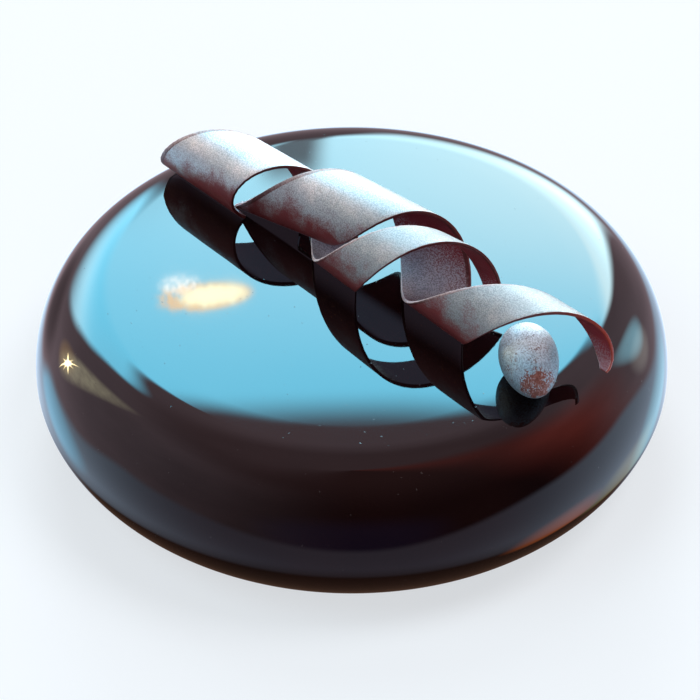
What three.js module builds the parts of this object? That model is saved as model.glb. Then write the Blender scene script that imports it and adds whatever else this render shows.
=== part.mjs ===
// A round mousse cake under a dark mirror glaze. On its flat top lie a curl made of two
// interleaved chocolate ribbons and, in the mouth of the curl, a small dusted sweet.
// Millimetres, +Z up, z = 0 under the cake and the origin at the middle of its base.
// +X runs along the curl, from its wide cut end to its pointed end.

import * as THREE from "three";

// The cake, a solid of revolution: a flat top, a full shoulder down to the widest ring,
// and a shorter curve that tucks in below it to the foot.
const CAKE_RADIUS = 100;
const CAKE_HEIGHT = 49.3;
const WIDEST_HEIGHT = 20;
const FLAT_TOP_RADIUS = 75;
const FOOT_RADIUS = 81.7;
const SHOULDER_POWER = 2.08; // 2 is an ellipse, more is squarer, less is flatter
const UNDERCUT_POWER = 1.6;
const SHOULDER_STEPS = 20;
const UNDERCUT_STEPS = 9;
const CAKE_SIDES = 128;

const CLEARANCE = 0.3; // between the cake's top and what lies on it

// The ribbons, cut from one chocolate sheet.
const SHEET_THICKNESS = 1.0;
const EDGE_BEVEL = 0.25;
const STEPS_PER_TURN = 52;

// Both ribbons wind left-handed along +X. Turn 0 is over the top, 0.25 is the +Y side,
// 0.5 is underneath and 0.75 is the -Y side. The sizes are given at these turns.
const EDGE_TURNS = [-0.4, 0.05, 0.5, 0.95, 1.4];
const BEND_TURNS = [-0.4, 0.2, 0.8, 1.4];
const TUCK_END_TURN = 0.1;
const TUCK_SPAN = 0.5;

// Before its first turn each ribbon runs in from where it lies on the cake. The far side
// of the strip ends sooner and in the air, past the second of these shares of its width.
const LANDING_STEPS = 5;
const LANDING_LENGTH = 2.4;
const LANDING_SLOPE = 1.25; // how much longer for each millimetre that the strip comes down
const LANDING_SHARES = [0.6, 0.78];
const SHORTEST_LANDING = 0.3;
const RIBBONS = {
  chocolate_ribbon_a: {
    edgeX: [-84.8, -61, -21.1, 13.7, 45.2], // x of the edge nearer the wide end
    width: [38.9, 29.2, 21.5, 14.5, 4.2],
    radius: [9.2, 12.4, 14.3, 13], // of the outer face, at the middle of the width
    lift: [-1.3, 1.3, 0, 0.2], // of the underside, above the cake's top
    axisY: [1.5, 1.2, 4, 7.9],
    flare: [0.9, 1], // how much larger the radius is at the far edge, at both ends
    tuck: 0.4, // how far the far edge is drawn inwards at the start
  },
  chocolate_ribbon_b: {
    edgeX: [-52.9, -20.3, 11, 49.2, 86],
    width: [35.3, 35.1, 28.3, 20.2, 2.8],
    radius: [10.1, 11.3, 13.6, 13.5],
    lift: [-2.8, 4.5, -2.2, 3.7],
    axisY: [2.9, 11.2, 9, 10.2],
    flare: [3.4, -0.5],
    tuck: 9,
  },
};

// The sweet, an egg lying on its side with its long axis across the mouth of the curl.
const EGG_HALF_LENGTH = 13.8;
const EGG_HALF_WIDTH = 8.6;
const EGG_TAPER = 0.16; // how much fatter than the average the blunt half is
const EGG_CENTRE = [71.5, 3.2];
const EGG_HEADING = -37; // degrees from +X of the direction its pointed end looks in
const EGG_RINGS = 18;
const EGG_SIDES = 28;

const FULL_TURN = 2 * Math.PI;

// A list of `count + 1` values evenly spaced from `first` to `last`.
function spread(first, last, count) {
  return Array.from({ length: count + 1 }, (_, i) => first + ((last - first) * i) / count);
}

// The function of one variable that passes through the given values at the given places.
function through(places, values) {
  return (at) => {
    let sum = 0;
    places.forEach((place, i) => {
      let weight = 1;
      places.forEach((other, j) => {
        if (j !== i) weight *= (at - other) / (place - other);
      });
      sum += weight * values[i];
    });
    return sum;
  };
}

// A closed solid through a list of loops with equal numbers of points. Each loop turns
// right-handed about the direction in which the list advances. The two end loops are
// closed by fans about their own middles.
function loft(loops) {
  const size = loops[0].length;
  const points = [...loops.flat(), middle(loops[0]), middle(loops.at(-1))];
  const index = [];
  for (let i = 0; i + 1 < loops.length; i++) {
    for (let j = 0; j < size; j++) {
      const here = i * size + j;
      const next = i * size + ((j + 1) % size);
      index.push(here, next, next + size);
      index.push(here, next + size, here + size);
    }
  }
  const lastLoop = (loops.length - 1) * size;
  for (let j = 0; j < size; j++) {
    const next = (j + 1) % size;
    index.push(points.length - 2, next, j);
    index.push(points.length - 1, lastLoop + j, lastLoop + next);
  }
  const geometry = new THREE.BufferGeometry().setFromPoints(points);
  geometry.setIndex(index);
  geometry.computeVertexNormals();
  return geometry;
}

function middle(loop) {
  const sum = new THREE.Vector3();
  loop.forEach((point) => sum.add(point));
  return sum.divideScalar(loop.length);
}

// A profile of [radius, height] pairs, from the axis back to the axis, turned about +Z.
function turned(profile, sides) {
  const points = profile.map(([radius, height]) => new THREE.Vector2(radius, height));
  return new THREE.LatheGeometry(points, sides).rotateX(Math.PI / 2);
}

// A quarter of a superellipse as [across, up] pairs, from (1, 0) to (0, 1).
function quarter(power, steps) {
  return spread(0, Math.PI / 2, steps).map((a) => [
    Math.max(0, Math.cos(a)) ** (2 / power),
    Math.max(0, Math.sin(a)) ** (2 / power),
  ]);
}

function cakeGeometry() {
  const undercut = quarter(UNDERCUT_POWER, UNDERCUT_STEPS)
    .reverse()
    .map(([across, down]) => [
      FOOT_RADIUS + (CAKE_RADIUS - FOOT_RADIUS) * across,
      WIDEST_HEIGHT * (1 - down),
    ]);
  const shoulder = quarter(SHOULDER_POWER, SHOULDER_STEPS)
    .slice(1)
    .map(([across, up]) => [
      FLAT_TOP_RADIUS + (CAKE_RADIUS - FLAT_TOP_RADIUS) * across,
      WIDEST_HEIGHT + (CAKE_HEIGHT - WIDEST_HEIGHT) * up,
    ]);
  return turned([[0, 0], ...undercut, ...shoulder, [0, CAKE_HEIGHT]], CAKE_SIDES);
}

function ribbonGeometry(sizes) {
  const edgeX = through(EDGE_TURNS, sizes.edgeX);
  const width = through(EDGE_TURNS, sizes.width);
  const radius = through(BEND_TURNS, sizes.radius);
  const lift = through(BEND_TURNS, sizes.lift);
  const axisY = through(BEND_TURNS, sizes.axisY);
  const [first, last] = [EDGE_TURNS[0], EDGE_TURNS.at(-1)];
  const flare = through([first, last], sizes.flare);

  // The point at a turn, a share of the width from the near edge, and a depth below the
  // outer face.
  function pointAt(turn, share, depth) {
    const angle = FULL_TURN * turn;
    const tuck = Math.max(0, TUCK_END_TURN - turn) / TUCK_SPAN;
    const outer = radius(turn) + flare(turn) * (share - 0.5) - sizes.tuck * share * tuck ** 2;
    return new THREE.Vector3(
      edgeX(turn) + share * width(turn),
      axisY(turn) + (outer - depth) * Math.sin(angle),
      CAKE_HEIGHT + lift(turn) + radius(turn) + (outer - depth) * Math.cos(angle),
    );
  }

  // The same before the first turn, where `run` goes from 1 on the cake to 0.
  function landingAt(run, share, depth) {
    const height = pointAt(first, share, 0).z - CAKE_HEIGHT - CLEARANCE;
    const near = 1 - THREE.MathUtils.smoothstep(share, ...LANDING_SHARES);
    const length = SHORTEST_LANDING + near * (LANDING_LENGTH + LANDING_SLOPE * height);
    const point = pointAt(first, share, depth);
    point.y += run * length;
    point.z -= run * near * height;
    return point;
  }

  const steps = Math.round((last - first) * STEPS_PER_TURN);
  const landing = spread(1, 0, LANDING_STEPS).slice(0, -1);
  const inside = SHEET_THICKNESS;
  const section = (turn, place) => {
    const bevel = EDGE_BEVEL / width(turn);
    return [
      [bevel, 0],
      ...LANDING_SHARES.map((share) => [share, 0]),
      [1 - bevel, 0],
      [1, EDGE_BEVEL],
      [1, inside - EDGE_BEVEL],
      [1 - bevel, inside],
      ...LANDING_SHARES.map((share) => [share, inside]).reverse(),
      [bevel, inside],
      [0, inside - EDGE_BEVEL],
      [0, EDGE_BEVEL],
    ].map(([share, depth]) => place(share, depth));
  };
  return loft([
    ...landing.map((run) => section(first, (share, depth) => landingAt(run, share, depth))),
    ...spread(first, last, steps).map((turn) =>
      section(turn, (share, depth) => pointAt(turn, share, depth)),
    ),
  ]);
}

function eggGeometry() {
  // From the blunt end to the pointed one.
  const profile = spread(-Math.PI / 2, Math.PI / 2, EGG_RINGS).map((a) => [
    EGG_HALF_WIDTH * Math.max(0, Math.cos(a)) * (1 - EGG_TAPER * Math.sin(a)),
    EGG_HALF_LENGTH * Math.sin(a),
  ]);
  profile[0][0] = 0;
  profile.at(-1)[0] = 0;
  const geometry = turned(profile, EGG_SIDES);
  // Lay it down: its length from +Z to +X, then turned to its heading.
  geometry.rotateY(Math.PI / 2);
  geometry.rotateZ(THREE.MathUtils.degToRad(EGG_HEADING));
  geometry.computeBoundingBox();
  const drop = CAKE_HEIGHT + CLEARANCE - geometry.boundingBox.min.z;
  geometry.translate(EGG_CENTRE[0], EGG_CENTRE[1], drop);
  return geometry;
}

function meshOf(name, geometry, color, roughness) {
  const mesh = new THREE.Mesh(geometry, new THREE.MeshStandardMaterial({ color, roughness }));
  mesh.name = name;
  return mesh;
}

const cake = new THREE.Group();
cake.add(meshOf("glazed_cake", cakeGeometry(), 0x1e1514, 0.05));
for (const [name, sizes] of Object.entries(RIBBONS)) {
  cake.add(meshOf(name, ribbonGeometry(sizes), 0x8f8189, 0.45));
}
cake.add(meshOf("dusted_egg", eggGeometry(), 0xa8a6a8, 0.5));

export default cake;
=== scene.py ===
# %% [markdown]
# # A mirror glaze cake
# A frozen mousse cake is coated with a dark cocoa glaze that sets as smooth as glass. On top
# lie a curl of two thin chocolate ribbons and an egg-shaped sweet, all three dusted with
# silver powder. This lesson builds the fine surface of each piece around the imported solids,
# which give the sizes and places, and then lights the set the way such a glaze needs it.

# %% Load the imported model
import math

import bpy
from mathutils import Matrix, Vector, noise


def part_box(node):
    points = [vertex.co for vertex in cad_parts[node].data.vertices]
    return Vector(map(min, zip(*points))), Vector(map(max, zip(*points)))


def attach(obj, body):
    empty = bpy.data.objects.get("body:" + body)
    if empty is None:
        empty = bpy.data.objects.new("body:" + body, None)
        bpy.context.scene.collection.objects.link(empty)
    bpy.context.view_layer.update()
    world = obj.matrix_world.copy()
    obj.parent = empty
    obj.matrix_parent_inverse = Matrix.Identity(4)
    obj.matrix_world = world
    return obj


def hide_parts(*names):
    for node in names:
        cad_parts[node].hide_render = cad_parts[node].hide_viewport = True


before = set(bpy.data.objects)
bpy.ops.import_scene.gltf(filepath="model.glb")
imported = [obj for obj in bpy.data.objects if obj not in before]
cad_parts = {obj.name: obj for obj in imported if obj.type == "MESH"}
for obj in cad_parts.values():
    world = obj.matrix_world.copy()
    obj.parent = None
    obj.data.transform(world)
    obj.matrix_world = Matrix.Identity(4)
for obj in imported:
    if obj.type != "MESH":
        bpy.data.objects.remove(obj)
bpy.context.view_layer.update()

print("nodes:", sorted(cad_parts))

# %% [markdown]
# ## The view
# Directions are easiest to think of as the camera sees them: an azimuth, 0 straight away
# from the camera and positive to the right, and an elevation above the table. The curl runs
# along +X of the model, and the camera looks at it from the side, 46 degrees round. One
# helper turns such a direction into a point of the model's frame, and the camera, the window
# and the lamps are all placed with it.

# %% Directions and the camera
MM = 0.001
VIEW_TURN = math.radians(46.28)
CAMERA_DISTANCE = 0.7118
CAMERA_ELEVATION = 41.78
CAMERA_PITCH = 40.55
CAMERA_YAW = 0.06
LENS = 112.55


def seen_at(azimuth, elevation, distance):
    turn = math.radians(azimuth) - VIEW_TURN
    rise = math.radians(elevation)
    flat = distance * math.cos(rise)
    return Vector((flat * math.sin(turn), flat * math.cos(turn), distance * math.sin(rise)))


camera = bpy.data.objects.new("camera", bpy.data.cameras.new("camera"))
bpy.context.scene.collection.objects.link(camera)
bpy.context.scene.camera = camera
camera.data.sensor_width = 36
camera.data.lens = LENS
camera.data.clip_start = 0.02
camera.location = seen_at(180, CAMERA_ELEVATION, CAMERA_DISTANCE)
camera.rotation_euler = (
    math.radians(90 - CAMERA_PITCH),
    0,
    VIEW_TURN + math.radians(CAMERA_YAW),
)
print("camera at", [round(x, 3) for x in camera.location])

# %% [markdown]
# ## Writing shaders as sums
# A finish is mostly arithmetic on a few noises: more dust here, a little rougher there. One
# class wraps a node's output so that `1 - mask` or `0.3 + 0.2 * speckle` adds the Math nodes
# by itself. Colours and vectors go through Mix and Vector Math instead, because a Math node
# would turn a colour grey. A second class holds one material and has a single method that
# adds any other node.


# %% A socket with operators
class Wire:
    """One output of a node, on which Python's operators add nodes."""

    def __init__(self, finish, socket):
        self.finish = finish
        self.socket = socket

    def combine(self, operation, left, right):
        kinds = (kind(left), kind(right))
        if "VECTOR" in kinds:
            settings = {"operation": operation}
            return self.finish.node("VectorMath", settings, {0: left, 1: right})
        if "RGBA" in kinds or "TUPLE" in kinds:
            settings = {"data_type": "RGBA", "blend_type": operation}
            sockets = {"Factor_Float": 1.0, "A_Color": left, "B_Color": right}
            return self.finish.node("Mix", settings, sockets, "Result_Color")
        return self.finish.node("Math", {"operation": operation}, {0: left, 1: right})

    def __add__(self, other):
        return self.combine("ADD", self, other)

    def __radd__(self, other):
        return self.combine("ADD", other, self)

    def __sub__(self, other):
        return self.combine("SUBTRACT", self, other)

    def __rsub__(self, other):
        return self.combine("SUBTRACT", other, self)

    def __mul__(self, other):
        return self.combine("MULTIPLY", self, other)

    def __rmul__(self, other):
        return self.combine("MULTIPLY", other, self)

    def __truediv__(self, other):
        return self.combine("DIVIDE", self, other)


def kind(value):
    if isinstance(value, Wire):
        return value.socket.type
    return "TUPLE" if isinstance(value, tuple) else "NUMBER"


# %% A material and its nodes
class Finish:
    """One material, built node by node."""

    def __init__(self, name):
        self.material = bpy.data.materials.new(name)
        self.material.use_nodes = True
        self.tree = self.material.node_tree
        self.tree.nodes.clear()

    def node(self, node_type, settings=None, sockets=None, output=0):
        made = self.tree.nodes.new("ShaderNode" + node_type)
        for name, value in (settings or {}).items():
            setattr(made, name, value)
        for name, value in (sockets or {}).items():
            socket = find_socket(made.inputs, name)
            if isinstance(value, Wire):
                self.tree.links.new(value.socket, socket)
            elif socket.type == "RGBA":
                socket.default_value = (*value, 1.0)
            else:
                socket.default_value = value
        return Wire(self, find_socket(made.outputs, output))

    def place(self, output="Object"):
        return self.node("TexCoord", output=output)

    def noise(self, size, detail=3.0):
        """Soft random levels from 0 to 1 whose patches are about `size` metres across."""
        sockets = {"Vector": self.place(), "Scale": 1 / size, "Detail": detail}
        return self.node("TexNoise", None, sockets, "Fac")

    def between(self, level, low, high):
        """0 where `level` is below `low`, 1 above `high`, and a smooth rise between."""
        settings = {"interpolation_type": "SMOOTHSTEP"}
        return self.node("MapRange", settings, {"Value": level, "From Min": low, "From Max": high})

    def mix(self, share, first, second):
        """The first colour where `share` is 0, the second where it is 1."""
        settings = {"data_type": "RGBA", "blend_type": "MIX"}
        sockets = {"Factor_Float": share, "A_Color": first, "B_Color": second}
        return self.node("Mix", settings, sockets, "Result_Color")

    def within(self, level, low, high, soft):
        """1 between `low` and `high`, with borders `soft` wide, and 0 outside."""
        half = soft / 2
        return self.between(level, low - half, low + half) * (
            1 - self.between(level, high - half, high + half)
        )

    def split(self, vector):
        """The three parts of a vector."""
        return [self.node("SeparateXYZ", None, {0: vector}, axis) for axis in range(3)]

    def bump(self, height, depth, strength):
        """A normal that follows `height`, from 0 to 1, over `depth` metres."""
        sockets = {"Height": height, "Distance": depth, "Strength": strength}
        return self.node("Bump", None, sockets)

    def surface(self, sockets):
        shader = self.node("BsdfPrincipled", None, sockets)
        self.node("OutputMaterial", None, {"Surface": shader}, None)
        return self.material

    def glow(self, color, strength):
        shader = self.node("Emission", None, {"Color": color, "Strength": strength})
        self.node("OutputMaterial", None, {"Surface": shader}, None)
        return self.material


def find_socket(sockets, name):
    if name is None:
        return None
    if isinstance(name, int):
        return sockets[name]
    for socket in sockets:
        if socket.identifier == name:
            return socket
    return next(s for s in sockets if s.name == name and s.enabled)


# %% [markdown]
# ## From loops of points to a mesh
# Every piece here is a row of loops: rings round the cake's axis, rings round the egg's
# length, or sections across a ribbon. A modifier such as Screw could turn a profile, but it
# can't follow a tapering helix, so one short function joins any row of loops into a closed
# skin. The faces between two loops can carry different finishes, which the ribbons use for
# their dusted outside, bare inside and cut edges.


# %% Skinning a row of loops
def skin(name, loops, finishes, finish_of=None, tips=None):
    size = len(loops[0])
    points = [point for loop in loops for point in loop]
    faces = []
    marks = []
    for i in range(len(loops) - 1):
        for j in range(size):
            here = i * size + j
            following = i * size + (j + 1) % size
            faces.append((here, following, following + size, here + size))
            marks.append(finish_of(j) if finish_of else 0)
    last = (len(loops) - 1) * size
    ends = tips or (middle(loops[0]), middle(loops[-1]))
    points += ends
    for j in range(size):
        following = (j + 1) % size
        faces.append((len(points) - 2, following, j))
        faces.append((len(points) - 1, last + j, last + following))
        marks += [len(finishes) - 1] * 2
    mesh = bpy.data.meshes.new(name)
    mesh.from_pydata(points, [], faces)
    for finish in finishes:
        mesh.materials.append(finish)
    mesh.polygons.foreach_set("material_index", marks)
    mesh.polygons.foreach_set("use_smooth", [True] * len(faces))
    mesh.update()
    piece = bpy.data.objects.new(name, mesh)
    bpy.context.scene.collection.objects.link(piece)
    print(name, len(faces), "faces")
    return piece


def middle(points):
    return sum(points, Vector()) / len(points)


def ring(radius, z, sides):
    turns = [2 * math.pi * i / sides for i in range(sides)]
    return [Vector((radius * math.cos(a), radius * math.sin(a), z)) for a in turns]


def spread(first, last, count):
    return [first + (last - first) * i / count for i in range(count + 1)]


# %% [markdown]
# ## The glaze
# The glaze is cocoa, cream, sugar and gelatine: almost black, with a warm brown where light
# gets into it, and so smooth that it reflects the room like varnish. So its colour is nearly
# nothing, and its look is the reflection. Roughness stays low, with a faint broad change
# where the glaze ran thinner. Two bumps bend the reflections: a very shallow swell, some
# centimetres wide, from the glaze flowing before it set, and rare pale specks of dust that
# settled on it.

# %% Glaze finish
DEEP_GLAZE = (0.0030, 0.0012, 0.0018)
THIN_GLAZE = (0.0075, 0.0024, 0.0024)
FALLEN_DUST = (0.30, 0.26, 0.26)


def glaze_finish():
    glaze = Finish("mirror_glaze")
    flow = glaze.noise(0.06, detail=0.0)
    streaks = glaze.noise(0.014, detail=2.0)
    dust = glaze.between(glaze.noise(0.0012, detail=1.0), 0.77, 0.82)
    depth = glaze.between(glaze.noise(0.05, detail=2.0), 0.35, 0.65)
    color = glaze.mix(depth, DEEP_GLAZE, THIN_GLAZE)
    swell = glaze.bump(flow, 0.0005, 0.1)
    sockets = {"Height": dust, "Distance": 0.00003, "Strength": 0.5, "Normal": swell}
    return glaze.surface(
        {
            "Base Color": glaze.mix(0.12 * dust, color, FALLEN_DUST),
            "Roughness": 0.015 + 0.02 * streaks + 0.1 * dust,
            "IOR": 1.47,
            "Normal": glaze.node("Bump", None, sockets),
        }
    )


mirror_glaze = glaze_finish()

# %% [markdown]
# ## The cake
# A moulded cake is a solid of revolution, so its skin is one profile turned about the
# middle: a flat top, a full shoulder and a curve that tucks in to the foot, both of them
# quarters of superellipses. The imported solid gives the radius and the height. Glaze runs
# down and sets in a slightly uneven edge at the foot, so the rings near the table swell and
# shrink a little as they go round.

# %% Cake sizes
CAKE_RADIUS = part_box("glazed_cake")[1].x
CAKE_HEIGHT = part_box("glazed_cake")[1].z
WIDEST_HEIGHT = 20 * MM
FLAT_TOP_RADIUS = 75 * MM
FOOT_RADIUS = 81.7 * MM
SHOULDER_POWER = 2.08
UNDERCUT_POWER = 1.6
FOOT_WAVE = 0.7 * MM
FOOT_WAVE_HEIGHT = 7 * MM
FOOT_WAVE_PACE = 6  # noise cells in a radius, so nearly forty round the foot
UNDERCUT_STEPS = 24
SHOULDER_STEPS = 60
TOP_SHARES = (0.9, 0.75, 0.5, 0.25)  # of the flat top's radius, one ring of points at each
CAKE_SIDES = 360


def quarter(power, steps):
    """A quarter of a superellipse as (across, up) pairs, from (1, 0) to (0, 1)."""
    angles = spread(0, math.pi / 2, steps)
    return [
        (max(0, math.cos(a)) ** (2 / power), max(0, math.sin(a)) ** (2 / power)) for a in angles
    ]


def cake_profile():
    """(radius, height) pairs from the foot to near the middle of the flat top."""
    below = [
        (FOOT_RADIUS + (CAKE_RADIUS - FOOT_RADIUS) * across, WIDEST_HEIGHT * (1 - down))
        for across, down in reversed(quarter(UNDERCUT_POWER, UNDERCUT_STEPS))
    ]
    above = [
        (
            FLAT_TOP_RADIUS + (CAKE_RADIUS - FLAT_TOP_RADIUS) * across,
            WIDEST_HEIGHT + (CAKE_HEIGHT - WIDEST_HEIGHT) * up,
        )
        for across, up in quarter(SHOULDER_POWER, SHOULDER_STEPS)[1:]
    ]
    inward = [(FLAT_TOP_RADIUS * share, CAKE_HEIGHT) for share in TOP_SHARES]
    return below + above + inward


# %% Turn the profile, with an uneven foot
def foot_wave(angle, z):
    """How far the glaze stands out or in near the foot, in metres."""
    if z > FOOT_WAVE_HEIGHT:
        return 0
    where = FOOT_WAVE_PACE * Vector((math.cos(angle), math.sin(angle), 0))
    drops = noise.noise(where) + 0.5 * noise.noise(3 * where)
    fade = (1 - z / FOOT_WAVE_HEIGHT) ** 2
    return FOOT_WAVE * drops * fade


def make_cake():
    loops = []
    for radius, z in cake_profile():
        loop = ring(radius, z, CAKE_SIDES)
        for point in loop:
            wave = foot_wave(math.atan2(point.y, point.x), z)
            point.xy *= 1 + wave / radius
        loops.append(loop)
    return skin("glaze_coat", loops, [mirror_glaze])


cake = make_cake()
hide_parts("glazed_cake")
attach(cake, "root")

# %% [markdown]
# ## Silver dust on chocolate
# Pearl dust is a powder of tiny flakes sprayed over set chocolate from above. From afar it
# reads as a soft satin metal, and close by as specks with the brown showing between them.
# It settles on what faces up, on the outside of a curl and inside alike, and leaves what
# faces down bare. So the cover is worked out from the height of the surface normal, fine
# grains and broad patches, and the same cover sets the colour and how metallic the spot is.
# On the outside the powder is also painted paler where it faces up, a painted highlight, and
# along the curl it thins and is painted darker and less metallic, a painted shade that keeps
# the later bands dimmer.
# The mirror under the curl throws some light back up. Only the glaze itself shows those
# undersides, so a faint glow on them stands for that light.


# %% Dusted outside, thinly dusted inside and cut edge
BARE = (0.160, 0.027, 0.034)
WARM_BARE = (0.250, 0.050, 0.050)
DUST_HIGHLIGHT = (0.780, 0.710, 0.700)
GREY_DUST = (0.420, 0.480, 0.510)
# Along the curl from here on, the outside's dust thins and its powder is painted darker and less
# metallic, a painted shade on the later bands.
DUST_AND_SHADE_START = -0.055  # metres along the curl, where the dust is thickest
DUST_AND_SHADE_END = 0.040
TIP_START = 0.068  # metres along the curl, where the inside turns bare and the edges red
TIP_END = 0.086
INSIDE_BARE = (0.150, 0.014, 0.026)
INSIDE_WARM_BARE = (0.300, 0.030, 0.036)
INSIDE_PALE_DUST = (0.48, 0.37, 0.36)
INSIDE_GREY_DUST = (0.26, 0.29, 0.37)
EDGE_DARK = (0.030, 0.005, 0.006)
EDGE_BROWN = (0.150, 0.018, 0.016)
EDGE_RED = (0.280, 0.030, 0.016)
EDGE_HIGHLIGHT = (0.86, 0.70, 0.70)
MIRROR_FILL = (0.200, 0.160, 0.220)
MIRROR_FILL_INSIDE = (0.220, 0.280, 0.420)
BLACK = (0.0, 0.0, 0.0)


def facing(finish):
    """The surface normal's parts along the curl, across it and up, each from -1 to 1."""
    return finish.split(finish.place("Normal"))


def speckle(finish, size):
    """Fine random levels from 0 to 1 with strong contrast."""
    return finish.between(finish.noise(size, detail=1.0), 0.32, 0.68)


def dusted_finish():
    dust = Finish("dusted_chocolate")
    up = facing(dust)[2]
    along = dust.split(dust.place())[0]
    fade_along_curl = dust.between(along, DUST_AND_SHADE_START, DUST_AND_SHADE_END)
    specks = speckle(dust, 0.00042)
    clumps = dust.noise(0.0022, detail=3.0)
    patches = dust.noise(0.011, detail=2.0)
    grain = 0.16 * specks + 0.5 * clumps + 1.5 * patches - 1.08
    cover = dust.between(up + grain - 0.14 * fade_along_curl, -0.25, 0.50)
    brown = dust.mix(patches, BARE, WARM_BARE)
    # Painted highlight: the powder is painted paler where the outside faces up, towards the window
    # light.
    bright = dust.between(up + 0.5 * grain - 0.10 * fade_along_curl, 0.42, 1.0)
    powder = dust.mix(bright, GREY_DUST, DUST_HIGHLIGHT)
    powder = powder * (0.80 + 0.38 * specks)
    # Painted shade: along the curl the powder is painted darker, and further down less metallic,
    # so the later bands stay dimmer.
    powder = powder * (1 - 0.42 * fade_along_curl)
    under = dust.between(-1 * up, 0.55, 0.95)
    return dust.surface(
        {
            "Base Color": dust.mix(cover, brown, powder),
            "Metallic": cover * (0.45 - 0.30 * fade_along_curl),
            "Roughness": 0.36 + 0.16 * clumps,
            "Emission Color": dust.mix(under, BLACK, MIRROR_FILL),
            "Emission Strength": 1.0,
            "Normal": dust.bump(specks, 0.00006, 0.5),
        }
    )


def inside_finish():
    inside = Finish("inside_chocolate")
    up = facing(inside)[2]
    along = inside.split(inside.place())[0]
    fade_along_curl = inside.between(along, TIP_START, TIP_END)
    specks = speckle(inside, 0.00045)
    clouds = inside.noise(0.009, detail=3.0)
    grain = 0.5 * specks + 0.9 * clouds - 0.7
    cover = inside.between(up + grain, 0.05, 0.95) * (1 - 0.6 * fade_along_curl)
    brown = inside.mix(clouds, INSIDE_BARE, INSIDE_WARM_BARE)
    powder = inside.mix(clouds, INSIDE_PALE_DUST, INSIDE_GREY_DUST)
    powder = powder * (0.6 + 0.6 * specks)
    under = inside.between(-1 * up, 0.68, 0.95)
    return inside.surface(
        {
            "Base Color": inside.mix(cover, brown, powder),
            "Metallic": 0.3 * cover,
            "Roughness": 0.36 + 0.2 * clouds,
            "Emission Color": inside.mix(under, BLACK, MIRROR_FILL_INSIDE),
            "Emission Strength": 1.0,
            "Normal": inside.bump(specks, 0.00008, 0.5),
        }
    )


def edge_finish():
    edge = Finish("cut_edge")
    along, _, up = facing(edge)
    place = edge.split(edge.place())[0]
    crumbs = edge.noise(0.0006, detail=3.0)
    # Painted highlight: edges that face up and towards -X, the back-left window, are painted pale.
    lit = edge.between(0.3 * up - along + 0.5 * crumbs, 0.25, 0.95)
    brown = edge.mix(crumbs, EDGE_DARK, EDGE_BROWN)
    brown = edge.mix(edge.between(place, TIP_START, TIP_END), brown, EDGE_RED)
    return edge.surface(
        {
            "Base Color": edge.mix(lit, brown, EDGE_HIGHLIGHT),
            "Roughness": 0.35 + 0.2 * crumbs,
            "Normal": edge.bump(crumbs, 0.00015, 0.6),
        }
    )


dusted_chocolate = dusted_finish()
inside_chocolate = inside_finish()
cut_edge = edge_finish()

# %% [markdown]
# ## The ribbons
# A chocolate curl like this is spread on a strip of acetate, wound round a tube and let set.
# Here two strips are wound together, so the bands that follow each other belong to
# different ribbons. Each ribbon is a band on a left-handed helix that tapers to a point.
# Its sizes were measured at a few turns, 0 over the top, 0.5 underneath, and a smooth
# polynomial passes through them. A curve with a bevel can't change its section like this,
# so the sections are placed by the helix's own formula and skinned. Before its first turn
# each ribbon runs in along the glaze for a few millimetres, out of sight, so that no light
# passes between the curl and its mirror image.

# %% Ribbon sizes, in millimetres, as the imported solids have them
SHEET = 1.0
BEVEL = 0.25
EDGE_TURNS = (-0.4, 0.05, 0.5, 0.95, 1.4)
BEND_TURNS = (-0.4, 0.2, 0.8, 1.4)
END_TURNS = (-0.4, 1.4)
TUCK_END_TURN = 0.1
TUCK_SPAN = 0.5
LANDING_LENGTH = 2.4
LANDING_SLOPE = 1.25
LANDING_SHARES = (0.6, 0.78)
SHORTEST_LANDING = 0.3
RIBBONS = {
    "chocolate_ribbon_a": {
        "edge_x": (-84.8, -61, -21.1, 13.7, 45.2),
        "width": (38.9, 29.2, 21.5, 14.5, 4.2),
        "radius": (9.2, 12.4, 14.3, 13),
        "lift": (-1.3, 1.3, 0, 0.2),
        "axis_y": (1.5, 1.2, 4, 7.9),
        "flare": (0.9, 1),
        "tuck": 0.4,
    },
    "chocolate_ribbon_b": {
        "edge_x": (-52.9, -20.3, 11, 49.2, 86),
        "width": (35.3, 35.1, 28.3, 20.2, 2.8),
        "radius": (10.1, 11.3, 13.6, 13.5),
        "lift": (-2.8, 4.5, -2.2, 3.7),
        "axis_y": (2.9, 11.2, 9, 10.2),
        "flare": (3.4, -0.5),
        "tuck": 9,
    },
}
STEPS_PER_TURN = 170
ACROSS_STEPS = 22
ROUND_STEPS = 3


def through(places, values):
    """The function that passes through the given values at the given places."""

    def level(at):
        total = 0
        for i, place in enumerate(places):
            weight = 1
            for j, other in enumerate(places):
                if j != i:
                    weight *= (at - other) / (place - other)
            total += weight * values[i]
        return total

    return level


# %% The section of a ribbon
def corner(across, depth, start):
    """A quarter circle of the bevel about a point, from the angle `start`."""
    angles = spread(start, start - math.pi / 2, ROUND_STEPS)
    return [(across + BEVEL * math.cos(a), depth - BEVEL * math.sin(a)) for a in angles]


def section(width):
    """A loop of (across, depth) pairs in millimetres: outside, far edge, inside, near edge."""
    low, high = BEVEL, SHEET - BEVEL
    left, right = BEVEL, width - BEVEL
    outside = [(x, 0) for x in spread(left, right, ACROSS_STEPS)[1:-1]]
    inside = [(x, SHEET) for x in spread(right, left, ACROSS_STEPS)[1:-1]]
    far = corner(right, low, math.pi / 2) + corner(right, high, 0)
    near = corner(left, high, -math.pi / 2) + corner(left, low, math.pi)
    return outside + far + inside + near


OUTSIDE_COUNT = ACROSS_STEPS - 1
EDGE_COUNT = 2 * (ROUND_STEPS + 1)


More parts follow.
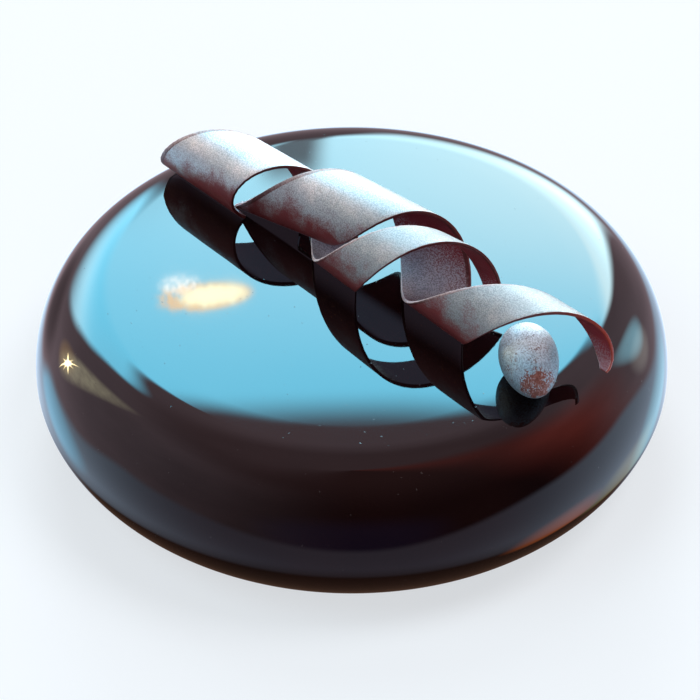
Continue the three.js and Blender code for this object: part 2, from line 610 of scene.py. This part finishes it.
def section_finish(j):
    """0 for the outside, 1 for the inside and 2 for an edge."""
    if j < OUTSIDE_COUNT:
        return 0
    if j < OUTSIDE_COUNT + EDGE_COUNT:
        return 2
    if j < 2 * OUTSIDE_COUNT + EDGE_COUNT:
        return 1
    return 2


# %% Wind each ribbon, in millimetres
RAGGED = 0.16
RAGGED_PACE = 60  # noise cells in a turn
RAGGED_FADE = 8  # the higher, the closer to its edge the raggedness stays
WARP = 0.12
WARP_PACE = 5
FAR_EDGE_SEED = 5
WARP_SEED = 9
LET_DOWN = 0.3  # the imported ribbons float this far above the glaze
REST = 0.03  # what is left of that, so that the ribbons don't cut into the glaze
LANDING_STEPS = 12


def landing(share, height):
    """How far the strip runs on, and comes down, before its first turn."""
    low, high = LANDING_SHARES
    fade = min(1, max(0, (share - low) / (high - low)))
    near = 1 - fade * fade * (3 - 2 * fade)
    return SHORTEST_LANDING + near * (LANDING_LENGTH + LANDING_SLOPE * height), near * height


def ribbon_loops(sizes, seed):
    edge_x = through(EDGE_TURNS, sizes["edge_x"])
    width = through(EDGE_TURNS, sizes["width"])
    radius = through(BEND_TURNS, sizes["radius"])
    lift = through(BEND_TURNS, sizes["lift"])
    axis_y = through(BEND_TURNS, sizes["axis_y"])
    flare = through(END_TURNS, sizes["flare"])
    top = CAKE_HEIGHT / MM - LET_DOWN
    first, last = END_TURNS

    def place(turn, run, across, depth):
        angle = 2 * math.pi * turn
        share = across / width(turn)
        tuck = sizes["tuck"] * (max(0, TUCK_END_TURN - turn) / TUCK_SPAN) ** 2
        outer = radius(turn) + flare(turn) * (share - 0.5) - tuck * share
        rag_near = RAGGED * noise.noise(Vector((RAGGED_PACE * turn, seed, run)))
        rag_far = RAGGED * noise.noise(Vector((RAGGED_PACE * turn, seed, FAR_EDGE_SEED + run)))
        warp = WARP * noise.noise(Vector((WARP_PACE * turn, 2 * share, seed + WARP_SEED)))
        bend = outer - depth - max(0, warp)
        near_fade = (1 - share) ** RAGGED_FADE
        far_fade = share**RAGGED_FADE
        x = edge_x(turn) + across + rag_near * near_fade - rag_far * far_fade
        y = axis_y(turn) + bend * math.sin(angle)
        z = top + lift(turn) + radius(turn) + bend * math.cos(angle)
        if run > 0:
            height = lift(turn) + radius(turn) + outer * math.cos(angle) - LET_DOWN - REST
            length, drop = landing(share, height)
            y += run * length
            z -= run * drop
        return Vector((x, y, z)) * MM

    stations = [(first, run) for run in spread(1, 0, LANDING_STEPS)[:-1]]
    stations += [(turn, 0) for turn in spread(first, last, round((last - first) * STEPS_PER_TURN))]
    return [
        [place(turn, run, across, depth) for across, depth in section(width(turn))]
        for turn, run in stations
    ]


for seed, (node, sizes) in enumerate(RIBBONS.items()):
    finishes = [dusted_chocolate, inside_chocolate, cut_edge]
    piece = skin("curl_" + node[-1], ribbon_loops(sizes, seed), finishes, section_finish)
    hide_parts(node)
    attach(piece, "root")

# %% [markdown]
# ## The egg
# The sweet is an almond or praline in a hard shell, under the same silver dust. The silver
# is painted brighter on the side that faces the window light from behind, a painted
# highlight, and darker away from it, a painted shade. The egg was handled while the dust was
# loose, and its pointed end has lost some, so the red-brown shell shows there. It is turned
# like the cake, but about its length, and its skin gets the small dimples of a panned sweet
# before it is laid down.

# %% Egg finish
EGG_HALF_LENGTH = 13.8 * MM
EGG_HALF_WIDTH = 8.6 * MM
EGG_TAPER = 0.16
EGG_CENTRE = Vector((71.5, 3.2, 0)) * MM
EGG_HEADING = math.radians(-37)
EGG_RINGS = 96
EGG_SIDES = 128
EGG_DIMPLE = 0.10 * MM
EGG_DIMPLE_WIDTH = 2.6 * MM
EGG_GAP = 0.02 * MM  # between the egg and the glaze
SHELL_DARK = (0.13, 0.040, 0.034)
SHELL_PALE = (0.34, 0.13, 0.10)
SILVER_SHADE = (0.27, 0.41, 0.50)
SILVER_BRIGHT = (1.00, 1.00, 1.00)
BARE_SPOT = Vector((-0.16, 0.02, 0.90))  # in half widths up and across, half lengths along
# The direction of the window light that the silver's painted highlight follows.
WINDOW_LIGHT_FROM = seen_at(-8, 40, 1)


def egg_finish(bare_spot):
    egg = Finish("silver_dusted_sweet")
    along, across, up = facing(egg)
    facing_window_light = WINDOW_LIGHT_FROM.x * along + WINDOW_LIGHT_FROM.y * across + WINDOW_LIGHT_FROM.z * up
    specks = speckle(egg, 0.0005)
    clumps = egg.noise(0.0024, detail=3.0)
    away = egg.node(
        "VectorMath", {"operation": "DISTANCE"}, {0: egg.place(), 1: tuple(bare_spot)}, "Value"
    )
    bare = 1 - egg.between(away + 0.006 * clumps, 0.0056, 0.0096)
    grain = 0.35 * specks + 0.65 * clumps
    cover = egg.between(grain - 0.38 * bare, 0.14, 0.42)
    shell = egg.mix(clumps, SHELL_DARK, SHELL_PALE)
    # Painted highlight and shade: the silver is painted brighter where the shell faces the window
    # light behind it, and darker away from it.
    silver = egg.mix(egg.between(facing_window_light, 0.15, 0.80), SILVER_SHADE, SILVER_BRIGHT)
    silver = silver * (0.70 + 0.48 * specks)
    return egg.surface(
        {
            "Base Color": egg.mix(cover, shell * (0.6 + 0.6 * specks), silver),
            "Metallic": 0.4 * cover,
            "Roughness": 0.36 + 0.2 * clumps,
            "Normal": egg.bump(specks, 0.00010, 0.6),
        }
    )


# %% Turn the egg and lay it down
def make_egg():
    rest = CAKE_HEIGHT + EGG_GAP
    loops = []
    for a in spread(-math.pi / 2, math.pi / 2, EGG_RINGS)[1:-1]:
        radius = EGG_HALF_WIDTH * math.cos(a) * (1 - EGG_TAPER * math.sin(a))
        loops.append(ring(radius, EGG_HALF_LENGTH * math.sin(a), EGG_SIDES))
    for loop in loops:
        for point in loop:
            dent = 0.5 + 0.5 * noise.noise(point / EGG_DIMPLE_WIDTH)
            point.xy *= 1 - EGG_DIMPLE * dent / EGG_HALF_WIDTH
    tips = (Vector((0, 0, -EGG_HALF_LENGTH)), Vector((0, 0, EGG_HALF_LENGTH)))
    lie = Matrix.Rotation(EGG_HEADING, 4, "Z") @ Matrix.Rotation(math.pi / 2, 4, "Y")
    half_sizes = Vector((EGG_HALF_WIDTH, EGG_HALF_WIDTH, EGG_HALF_LENGTH))
    spot = lie @ (BARE_SPOT * half_sizes)
    lowest = min((lie @ point).z for loop in loops for point in loop)
    place = Matrix.Translation(EGG_CENTRE + Vector((0, 0, rest - lowest)))
    piece = skin("silver_egg", loops, [egg_finish(place @ spot)], None, tips)
    piece.data.transform(place @ lie)
    return piece


egg = make_egg()
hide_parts("dusted_egg")
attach(egg, "root")

# %% [markdown]
# ## The table
# The set is a plain pale table. A little light of its own keeps it pale right up to the
# cake, so the lamps can be set for the ribbons alone. The glaze doesn't mirror it: what the
# glaze shows of it is painted with the rest of the room, in the next step.

# %% Table
TABLE_HALF = 4.0
TABLE_WHITE = (0.86, 0.89, 0.92)
TABLE_GREY = (0.34, 0.35, 0.37)
TABLE_SHADE = tuple(0.97 * x for x in TABLE_GREY)
TABLE_GLOW = 0.73


def table_finish():
    finish = Finish("white_table")
    shade = finish.noise(0.4, detail=1.0)
    return finish.surface(
        {
            "Base Color": finish.mix(shade, TABLE_GREY, TABLE_SHADE),
            "Roughness": 0.7,
            "Specular IOR Level": 0.0,
            "Emission Color": TABLE_WHITE,
            "Emission Strength": TABLE_GLOW,
        }
    )


def stage_piece(name, points, faces, finish):
    mesh = bpy.data.meshes.new(name)
    mesh.from_pydata(points, [], faces)
    mesh.materials.append(finish)
    piece = bpy.data.objects.new(name, mesh)
    bpy.context.scene.collection.objects.link(piece)
    return piece


corners = [(TABLE_HALF * x, TABLE_HALF * y, 0) for x, y in ((-1, -1), (1, -1), (1, 1), (-1, 1))]
table = stage_piece("table", corners, [(0, 1, 2, 3)], table_finish())
table.visible_glossy = False

# %% [markdown]
# ## The room in the glaze
# A mirror glaze has no look of its own: it shows what stands round it. Here that is a dark
# room with one large sky-blue window behind the cake, which the flat top reflects, a small
# one at the right, walls that turn reddish at the right, and two warm lamps. All of it
# could be cards and lamps, but a glow painted on the inside of a huge dome is simpler,
# because each thing is then just a range of azimuths and elevations, in degrees. Below the
# table's far edge the dome carries the light that the table gives. It shows in reflections
# alone.

# %% Directions on the dome
DEGREES = 180 / math.pi


class Sky:
    """The direction of each point of the dome, as the camera has it, in degrees."""

    def __init__(self, finish):
        self.finish = finish
        unit = finish.node("VectorMath", {"operation": "NORMALIZE"}, {0: finish.place()})
        self.right, self.back, up = finish.split(unit)
        arctan = {"operation": "ARCTAN2"}
        self.azimuth = finish.node("Math", arctan, {0: self.right, 1: self.back}) * DEGREES
        self.elevation = finish.node("Math", {"operation": "ARCSINE"}, {0: up}) * DEGREES

    def spot(self, azimuth, elevation, wide, high, core=0.0):
        """A soft oval spot, 1 in the middle."""
        across = (self.azimuth - azimuth) / wide
        rise = (self.elevation - elevation) / high
        return self.oval(across, rise, core)

    def oval(self, across, rise, core=0.0):
        """1 out to the square root of `core` from the middle, 0 beyond a distance of 1."""
        return 1 - self.finish.between(across * across + rise * rise, core, 1.0)


# %% The big window
WINDOW_BLUE = (2.0, 10.0, 14.0)
WINDOW_PALE = (8.8, 13.2, 14.4)


def window_glow(room, sky):
    """Blue at the left and above, pale at the right, with a bush and a post before it."""
    left = 1 - room.between(sky.azimuth, -34.0, -4.0)
    right = room.between(sky.azimuth, 4.0, 20.0)
    top = 42.25 + 7.2 * left - 0.8 * right
    soft = 0.6 + 2.6 * left + 1.8 * right
    low = 1 - room.between(sky.elevation, -2.0, 24.0)
    high = room.between(sky.elevation, 32.0, 54.0)
    near = -46.0 + 9.0 * high + 9.0 * low
    far = 27.0 - 9.0 * high - 2.0 * low
    pale = room.between(sky.azimuth, -20.0, 12.0) * (1 - room.between(sky.elevation, 35.0, 42.5))
    pale = pale + 0.45 * left * (1 - room.between(sky.elevation, 22.0, 40.0))
    color = room.mix(pale, WINDOW_BLUE, WINDOW_PALE)
    sill = 3.0 - 14.0 * room.between(sky.azimuth, 2.0, 20.0)
    pane = room.between(sky.azimuth - near, -3.5, 3.5) * room.between(far - sky.azimuth, -3.0, 3.0)
    pane = pane * room.between((top - sky.elevation) / soft, -1.0, 1.0)
    pane = pane * room.between(sky.elevation - sill, 0.0, 28.0)
    bush = 1 - sky.spot(-7.0, 4.0, 11.0, 34.0, 0.5)
    post = room.within(sky.azimuth, -2.9, -1.1, 1.0) * room.within(sky.elevation, 10.0, 36.0, 1.0)
    return color * (pane * bush * (1 - 0.87 * post))


# %% The walls and the ceiling
WALL_GREY = (0.90, 0.70, 0.80)
WALL_RED = (1.50, 0.26, 0.20)
WALL_DIM = (0.05, 0.02, 0.02)
CEILING = (0.20, 0.10, 0.10)
FRONT_BLUE = (0.0, 0.03, 0.13)


def wall_glow(room, sky):
    """Grey walls at the left, redder at the right, dark towards the camera."""
    left = room.between(sky.azimuth, -185.0, -70.0)
    right = sky.azimuth - 12.0 * room.between(sky.elevation, 5.0, 40.0)
    level = left * (1 - room.between(right, 68.0, 118.0))
    level = level * (1 - 0.35 * room.between(sky.back, 0.5, 1.0))
    red = sky.azimuth + 15.0 * room.between(sky.elevation, 5.0, 40.0)
    color = room.mix(room.between(red, 62.0, 105.0), WALL_GREY, WALL_RED)
    color = color * (level * (1 - 0.6 * room.between(sky.elevation, 42.0, 66.0)))
    ceiling = CEILING * room.between(sky.elevation, 24.0, 80.0)
    front = room.between(-1 * sky.back, 0.80, 0.97)
    front = front * (1 - room.between(sky.elevation, 5.0, 30.0))
    shade = 1 - 0.6 * sky.spot(-40.0, -10.0, 16.0, 16.0)
    mottle = 0.8 + 0.4 * room.noise(9.0, detail=3.0)
    walls = (color + WALL_DIM) * (shade * mottle)
    return walls + ceiling + FRONT_BLUE * front


# %% The table as the glaze's sides mirror it
TABLE_NEAR = (0.40, 0.37, 0.50)
TABLE_FAR = (1.10, 1.40, 1.80)
TABLE_UNDER_CAKE = (0.11, 0.06, 0.04)


def table_glow(room, sky):
    """Dim towards the camera and right under the cake, with four coloured patches."""
    side = room.between(sky.back, -0.90, 0.35)
    color = room.mix(side, TABLE_NEAR, TABLE_FAR)
    lit = room.between(sky.elevation, -52.0, -34.0)
    glow = TABLE_UNDER_CAKE * (1 - lit) + color * lit
    glow = glow + (0.1, 1.0, 1.5) * sky.spot(-62.0, -28.0, 20.0, 14.0)
    glow = glow + (0.2, 0.8, 1.0) * sky.spot(50.0, -32.0, 18.0, 16.0)
    glow = glow + (0.5, 0.42, 0.12) * sky.spot(66.0, -42.0, 22.0, 13.0)
    return glow + (1.5, 0.36, 0.10) * sky.spot(100.0, -46.0, 24.0, 15.0)


def table_edge(room, sky):
    """The elevation of the lit table's far edge."""
    left = room.between(sky.azimuth, -178.0, -118.0)
    left = left * (1 - room.between(sky.azimuth, -104.0, -78.0))
    right = room.between(sky.azimuth, 50.0, 82.0)
    right = right * (1 - room.between(sky.azimuth, 115.0, 176.0))
    back_left = room.within(sky.azimuth, -52.0, -12.0, 16.0)
    return -15.0 + 11.0 * left + 17.0 * right - 11.0 * back_left


# %% The lamps and the small window
def lamps_glow(room, sky):
    """A second window, low at the right, and the glow of a lamp at the left."""
    leaning = -63.0 - 0.2 * (sky.elevation - 5.0)
    mottle = 0.4 + 1.2 * room.noise(1.6, detail=2.0)
    glow = (2.3, 2.2, 1.35) * (mottle * sky.spot(leaning, 22.0, 8.5, 28.0))
    glow = glow + (1.3, 3.4, 4.2) * sky.spot(54.0, 18.0, 9.0, 17.0)
    return glow + (1.0, 1.0, 0.9) * sky.spot(57.0, 6.0, 9.0, 14.0)


# %% A lamp that shows as a star
STAR_AZIMUTH = -61.9
STAR_ELEVATION = 8.7
STAR_COLOR = (34.0, 27.0, 14.0)
STAR_HALO = (1.1, 0.65, 0.12)


def star(sky):
    """A bright spot with eight rays, which the shoulder's curve squeezes back to round."""
    turn = sky.azimuth - STAR_AZIMUTH
    rise = sky.elevation - STAR_ELEVATION
    right = 0.79 * rise - 0.66 * turn
    down = -2.87 * turn - 0.24 * rise
    slant = 0.7 * (right + down)
    other = 0.7 * (right - down)
    core = sky.oval(right / 4.5, down / 4.0)
    rays = sky.oval(right / 11.0, down / 1.0) + sky.oval(right / 1.0, down / 12.0)
    short = sky.oval(slant / 8.0, other / 0.9) + sky.oval(slant / 0.9, other / 8.0)
    return core + rays + 0.6 * short


# %% A lamp in front of the window, with a ragged end
FRINGE_COLOR = (16.0, 11.0, 6.0)
LAMP_COLOR = (22.0, 21.0, 14.0)
SPARK_COLOR = (25.0, 24.0, 22.0)


def add_bright_lamp(room, sky, glow):
    """The glow with the lamp's fringe, its middle and the sparks beside it painted over."""
    ragged = room.noise(0.10, detail=3.0) - 0.5
    rough_end = 1 - room.between(sky.azimuth, -6.2, -4.6)
    tilt = -0.04 * (sky.azimuth + 5.0)
    fringe = sky.spot(-5.05, 39.15 + tilt + 0.9 * ragged * rough_end, 1.80, 0.38, 0.55)
    fringe = fringe * (1 - rough_end * room.between(ragged, 0.02, 0.12))
    bright = sky.spot(-4.75, 39.14 + tilt + 0.3 * ragged, 1.35, 0.28, 0.35)
    sparks = sky.spot(-5.9, 38.80, 0.85, 0.30, 0.2)
    sparks = sparks * room.between(room.noise(0.032, detail=2.0), 0.50, 0.56)
    glow = room.mix(fringe, glow, FRINGE_COLOR)
    glow = room.mix(bright, glow, LAMP_COLOR)
    return room.mix(sparks, glow, SPARK_COLOR)


# %% Paint the dome and hang it up
DOME_RADIUS = 30.0
DOME_ROWS = 48
DOME_SIDES = 64
ZENITH_GAP = 0.0005  # radians, a hole too small to see


def room_finish():
    room = Finish("room")
    sky = Sky(room)
    glow = window_glow(room, sky) + wall_glow(room, sky) + lamps_glow(room, sky)
    below = room.between(table_edge(room, sky) - sky.elevation, -4.0, 4.0)
    glow = room.mix(below, glow, table_glow(room, sky))
    glow = add_bright_lamp(room, sky, glow)
    halo = sky.spot(STAR_AZIMUTH + 2.0, STAR_ELEVATION, 7.0, 12.0)
    return room.glow(glow + STAR_HALO * halo + STAR_COLOR * star(sky), 1.0)


def dome():
    nearly_up = math.pi / 2 - ZENITH_GAP
    rises = spread(-nearly_up, nearly_up, DOME_ROWS)
    rows = [ring(math.cos(rise), math.sin(rise), DOME_SIDES) for rise in rises]
    points = [DOME_RADIUS * point for row in rows for point in row]
    faces = []
    for i in range(DOME_ROWS):
        for j in range(DOME_SIDES):
            here = i * DOME_SIDES + j
            following = i * DOME_SIDES + (j + 1) % DOME_SIDES
            faces.append((here, following, following + DOME_SIDES, here + DOME_SIDES))
    piece = stage_piece("room_dome", points, faces, room_finish())
    piece.rotation_euler.z = VIEW_TURN
    piece.visible_camera = False
    piece.visible_diffuse = False
    piece.visible_shadow = False
    piece.visible_transmission = False
    print("room_dome", len(faces), "faces")


dome()

# %% [markdown]
# ## The lamps
# The table, the ribbons and the egg are lit by five ordinary soft area lights: two from the
# big window, a high and a low one, one from each side and a weak one from the room. They
# don't show in reflections, so the glaze and the rest can be balanced apart from each other.
# A little light from everywhere keeps the shadows open.

# %% Soft lights
AIR_COLOR = (0.92, 0.95, 1.0)
AIR_STRENGTH = 0.18


def soft_light(name, azimuth, elevation, distance, size, color, power):
    light = bpy.data.lights.new(name, "AREA")
    light.shape = "DISK"
    light.size = size
    light.color = color
    light.energy = power
    lamp = bpy.data.objects.new(name, light)
    bpy.context.scene.collection.objects.link(lamp)
    lamp.location = seen_at(azimuth, elevation, distance)
    lamp.rotation_euler = lamp.location.to_track_quat("Z", "Y").to_euler()
    lamp.visible_glossy = False
    lamp.visible_camera = False
    print(name, power, "W")


soft_light("window_light", -8, 46, 5.0, 2.6, (0.90, 0.98, 1.0), 62)
soft_light("low_window_light", -4, 20, 5.0, 2.2, (0.90, 0.98, 1.0), 110)
soft_light("left_light", -100, 52, 4.0, 2.6, (0.76, 0.94, 1.0), 45)
soft_light("right_light", 75, 60, 4.0, 2.0, (0.96, 0.99, 1.0), 55)
soft_light("room_light", 160, 26, 4.0, 2.4, (1.0, 0.90, 0.87), 14)

world = bpy.data.worlds.new("room_air")
bpy.context.scene.world = world
world.use_nodes = True
background = world.node_tree.nodes["Background"]
background.inputs["Color"].default_value = (*AIR_COLOR, 1)
background.inputs["Strength"].default_value = AIR_STRENGTH
bpy.context.scene.view_settings.view_transform = "Standard"
